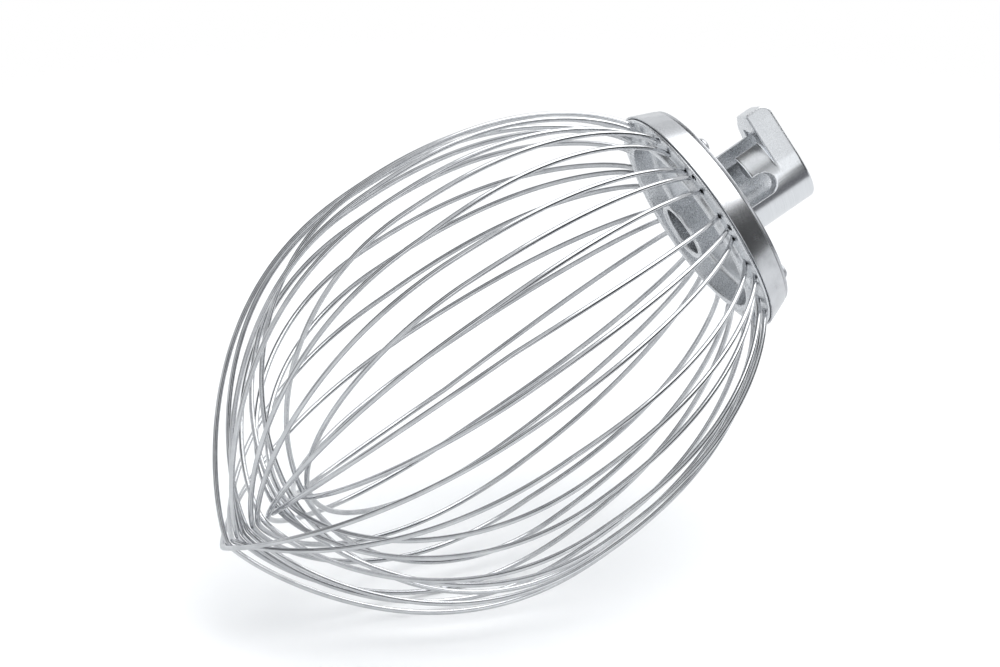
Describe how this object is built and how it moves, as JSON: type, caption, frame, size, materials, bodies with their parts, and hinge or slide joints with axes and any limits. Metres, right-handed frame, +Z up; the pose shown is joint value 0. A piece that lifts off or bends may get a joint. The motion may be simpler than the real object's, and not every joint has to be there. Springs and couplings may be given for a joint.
{
  "type": "balloon whisk",
  "caption": "Planetary-mixer balloon whisk: cast hub with bayonet coupler and lug, rim band, cover plate, and stacked steel wire loops forming a pointed balloon.",
  "frame": {"origin": "centre of the coupler's mouth, where the shaft enters", "axes": "+Z up the mixer's shaft, away from the wires; -Y the side with the bayonet track's pocket, +X to the right of it"},
  "size_m": [0.216, 0.2158, 0.3386],
  "materials": {
    "cast_aluminium": "fine sand-cast and blasted, satin on machined faces",
    "polished_steel": "polished band with faint turning lines",
    "plate_steel": "rolled sheet, satin",
    "screw_steel": "satin stainless",
    "wire_steel": "bright drawn stainless wire"
  },
  "bodies": {
    "root": {"cast_hub": "cast_aluminium", "rim_band": "polished_steel", "cover_plate": "plate_steel", "cover_screw_1": "screw_steel", "cover_screw_2": "screw_steel", "cover_screw_3": "screw_steel", "cover_screw_4": "screw_steel", "wire_01": "wire_steel", "wire_02": "wire_steel", "wire_03": "wire_steel", "wire_04": "wire_steel", "wire_05": "wire_steel", "wire_06": "wire_steel", "wire_07": "wire_steel", "wire_08": "wire_steel", "wire_09": "wire_steel", "wire_10": "wire_steel", "wire_11": "wire_steel", "wire_12": "wire_steel", "wire_13": "wire_steel", "wire_14": "wire_steel", "wire_15": "wire_steel", "wire_16": "wire_steel", "wire_17": "wire_steel", "wire_18": "wire_steel"}
  },
  "joints": []
}
